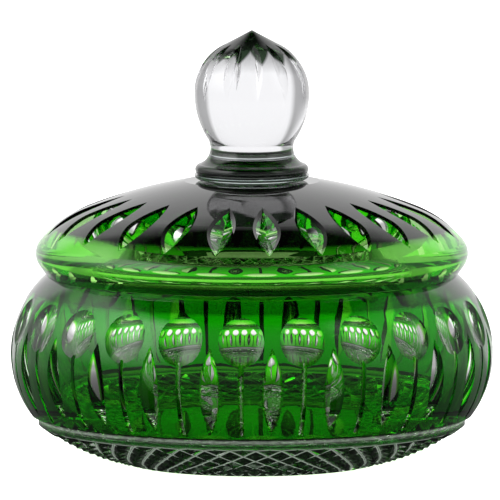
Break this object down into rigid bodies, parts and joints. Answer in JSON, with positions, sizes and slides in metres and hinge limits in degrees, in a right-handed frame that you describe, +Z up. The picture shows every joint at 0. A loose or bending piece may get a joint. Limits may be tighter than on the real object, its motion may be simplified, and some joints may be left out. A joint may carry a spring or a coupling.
{
  "type": "lidded candy dish",
  "caption": "Round lidded candy dish in green-cased cut crystal, with dished round cuts, pointed cuts, a fluted domed lid and a clear ball knob.",
  "frame": {"origin": "middle of the foot, in the plane that the dish stands on", "axes": "+Z up along the axis of the bowl, lid and knob; a round cut on the bowl faces +X"},
  "size_m": [0.1554, 0.1554, 0.1402],
  "materials": {
    "clear_crystal": "polished",
    "green_casing": "polished"
  },
  "bodies": {
    "bowl": {"bowl_crystal": "clear_crystal", "bowl_overlay": "green_casing"},
    "lid": {"lid_crystal": "clear_crystal", "lid_overlay": "green_casing", "knob_wafer": "clear_crystal", "knob": "clear_crystal"}
  },
  "joints": [
    {"name": "lid_lift", "type": "slide", "parent": "bowl", "child": "lid", "axis": [0, 0, 1], "range_m": [0, 0.08]}
  ]
}
